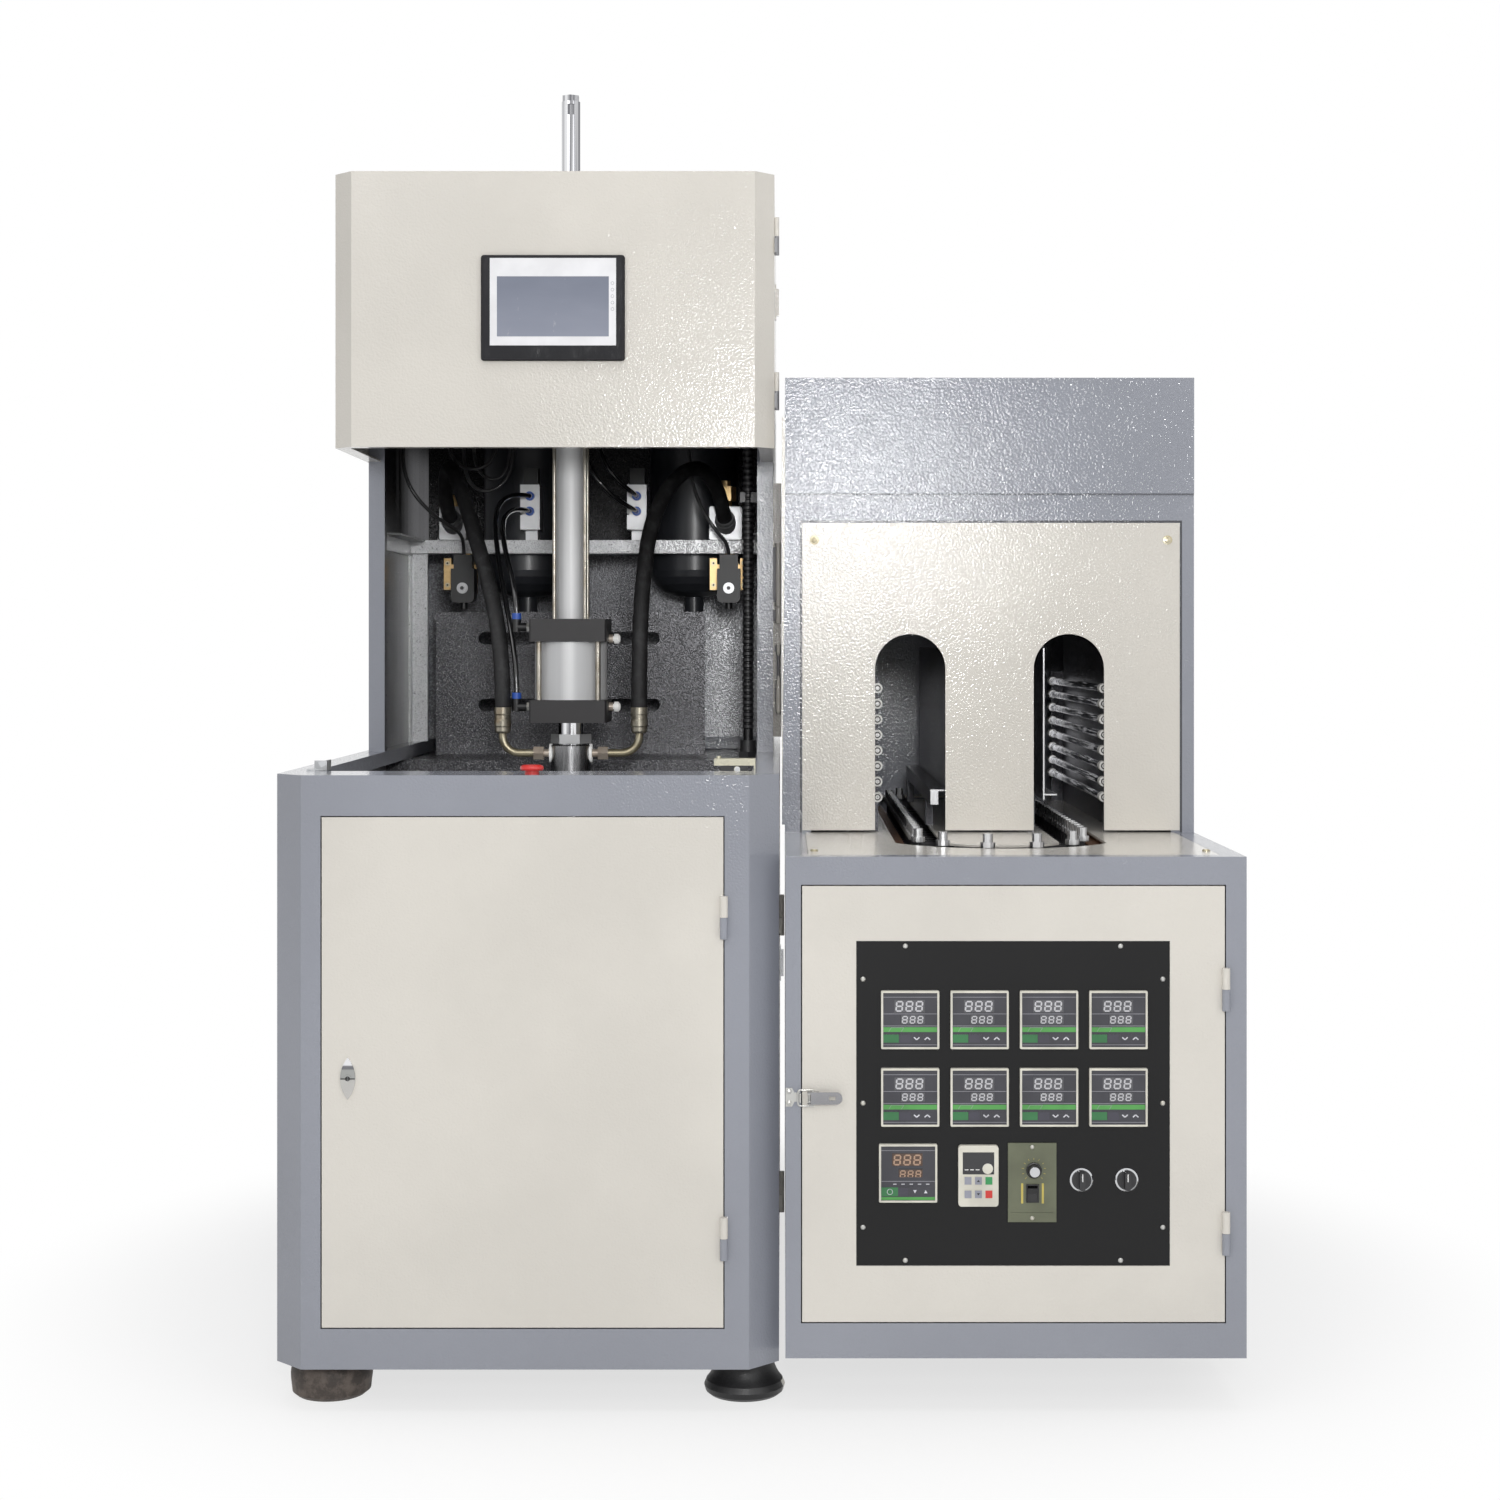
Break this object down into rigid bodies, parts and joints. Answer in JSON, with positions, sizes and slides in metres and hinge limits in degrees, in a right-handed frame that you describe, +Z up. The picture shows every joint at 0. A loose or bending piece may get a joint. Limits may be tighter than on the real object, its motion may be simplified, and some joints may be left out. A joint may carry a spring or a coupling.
{
  "type": "blow moulding machine",
  "caption": "Semi-automatic stretch blow moulding machine: a cabinet with blowing head, clamp and mould beside a rotary infrared preform heater.",
  "frame": {"origin": "on the floor, under the middle of the whole machine's box", "axes": "+Z up, the doors and the instrument panel face -Y, the preform heater is at +X"},
  "size_m": [1.21, 1.314, 1.779],
  "materials": {
    "grey_paint": "satin powder coat",
    "beige_paint": "orange-peel powder coat",
    "hammertone_paint": "hammertone gloss",
    "black_paint": "satin",
    "olive_paint": "satin",
    "black_rubber": "matt",
    "bright_chrome": "polished",
    "zinc_steel": "zinc plated",
    "plain_steel": "machined",
    "cast_aluminium": "satin",
    "plain_brass": "machined",
    "black_plastic": "moulded",
    "red_plastic": "moulded",
    "cream_plastic": "moulded",
    "lamp_glass": "quartz"
  },
  "bodies": {
    "machine_frame": {"blower_base": "grey_paint", "machine_feet": "black_rubber", "hinge_barrels": "grey_paint", "limit_switch": "zinc_steel", "mount_plate": "hammertone_paint", "tower_shell": "grey_paint", "head_shell": "beige_paint", "side_doors": "beige_paint", "touch_panel": "black_plastic", "shelf_frame": "grey_paint", "air_tanks": "hammertone_paint", "cylinder_caps": "cast_aluminium", "cylinder_barrels": "cast_aluminium", "cylinder_tie_rods": "plain_steel", "cylinder_fittings": "black_plastic", "valve_blocks": "cast_aluminium", "solenoid_coils": "black_plastic", "brass_valves": "plain_brass", "hose_left": "black_rubber", "hose_right": "black_rubber", "air_tubes": "black_plastic", "cables": "black_plastic", "conduit": "black_plastic", "clamp_frame": "plain_steel", "clamp_cylinders": "cast_aluminium", "heater_base": "grey_paint", "latch_bracket": "zinc_steel", "heater_table": "beige_paint", "heater_hood": "grey_paint", "hood_front_panel": "beige_paint", "lamps": "lamp_glass", "lamp_racks": "hammertone_paint", "spindle_chain": "zinc_steel", "chain_bed": "hammertone_paint"},
    "blower_door": {"blower_door": "beige_paint", "lock_escutcheon": "bright_chrome"},
    "lock_cam": {"lock_cam": "bright_chrome"},
    "red_button": {"red_button": "red_plastic"},
    "blow_head": {"seal_rod": "bright_chrome", "blow_block": "plain_steel", "blow_fittings": "zinc_steel"},
    "stretch_rod": {"stretch_rod": "bright_chrome"},
    "front_clamp": {"front_platen": "plain_steel", "front_mould": "cast_aluminium"},
    "rear_clamp": {"rear_platen": "plain_steel", "rear_mould": "cast_aluminium"},
    "heater_door": {"heater_door": "beige_paint", "instrument_panel": "black_paint", "controllers": "black_plastic", "inverter_keypad": "cream_plastic", "speed_plate": "olive_paint", "door_trim": "zinc_steel"},
    "speed_knob": {"speed_knob": "black_plastic"},
    "rocker_switch": {"rocker_switch": "black_plastic"},
    "left_selector": {"left_selector": "black_plastic"},
    "right_selector": {"right_selector": "black_plastic"},
    "latch_lever": {"latch_lever": "bright_chrome"},
    "latch_bail": {"latch_bail": "zinc_steel"},
    "front_sprocket": {"front_sprocket": "plain_steel"},
    "rear_sprocket": {"rear_sprocket": "plain_steel"}
  },
  "joints": [
    {"name": "blower_door_hinge", "type": "hinge", "parent": "machine_frame", "child": "blower_door", "pos_m": [-0.0432, -0.6483, 0.4], "axis": [0, 0, 1], "range_deg": [0, 110]},
    {"name": "lock_turn", "type": "hinge", "parent": "blower_door", "child": "lock_cam", "pos_m": [-0.5095, -0.643, 0.414], "axis": [0, -1, 0], "range_deg": [0, 90]},
    {"name": "button_push", "type": "slide", "parent": "machine_frame", "child": "red_button", "axis": [0, 0, -1], "range_m": [0, 0.003], "stiffness_N_per_m": 400, "springref_m": -0.002},
    {"name": "seal_stroke", "type": "slide", "parent": "machine_frame", "child": "blow_head", "axis": [0, 0, -1], "range_m": [0, 0.045], "deforming": ["hose_left", "hose_right"]},
    {"name": "stretch_stroke", "type": "slide", "parent": "machine_frame", "child": "stretch_rod", "axis": [0, 0, -1], "range_m": [0, 0.24]},
    {"name": "front_clamp_slide", "type": "slide", "parent": "machine_frame", "child": "front_clamp", "axis": [0, 1, 0], "range_m": [0, 0.09985]},
    {"name": "rear_clamp_slide", "type": "slide", "parent": "machine_frame", "child": "rear_clamp", "axis": [0, 1, 0], "range_m": [-0.09985, 0]},
    {"name": "heater_door_hinge", "type": "hinge", "parent": "machine_frame", "child": "heater_door", "pos_m": [0.5786, -0.6483, 0.38], "axis": [0, 0, 1], "range_deg": [0, 110]},
    {"name": "speed_knob_turn", "type": "hinge", "parent": "heater_door", "child": "speed_knob", "pos_m": [0.341, -0.6438, 0.3005], "axis": [0, 1, 0], "range_deg": [0, 270]},
    {"name": "rocker_tip", "type": "hinge", "parent": "heater_door", "child": "rocker_switch", "pos_m": [0.3393, -0.639, 0.2718], "axis": [-1, 0, 0], "range_deg": [0, 18]},
    {"name": "left_selector_turn", "type": "hinge", "parent": "heater_door", "child": "left_selector", "pos_m": [0.4, -0.641, 0.2885], "axis": [0, 1, 0], "range_deg": [0, 90]},
    {"name": "right_selector_turn", "type": "hinge", "parent": "heater_door", "child": "right_selector", "pos_m": [0.456, -0.641, 0.2885], "axis": [0, 1, 0], "range_deg": [0, 90]},
    {"name": "latch_lever_turn", "type": "hinge", "parent": "heater_door", "child": "latch_lever", "pos_m": [0.063, -0.648, 0.391], "axis": [0, 0, -1], "range_deg": [0, 120]},
    {"name": "latch_bail_turn", "type": "hinge", "parent": "latch_lever", "child": "latch_bail", "pos_m": [0.067, -0.6495, 0.391], "axis": [0, 0, -1], "range_deg": [-120, 0]},
    {"name": "rear_sprocket_spin", "type": "hinge", "parent": "machine_frame", "child": "rear_sprocket", "pos_m": [0.319, 0.4106, 0.66], "axis": [0, 0, 1], "continuous": true},
    {"name": "front_sprocket_spin", "type": "hinge", "parent": "machine_frame", "child": "front_sprocket", "pos_m": [0.319, -0.404, 0.66], "axis": [0, 0, 1], "continuous": true}
  ],
  "couplings": [
    {"joint": "rear_clamp_slide", "follows": "front_clamp_slide", "ratio": -1},
    {"joint": "latch_bail_turn", "follows": "latch_lever_turn", "ratio": -1},
    {"joint": "front_sprocket_spin", "follows": "rear_sprocket_spin", "ratio": 1}
  ]
}
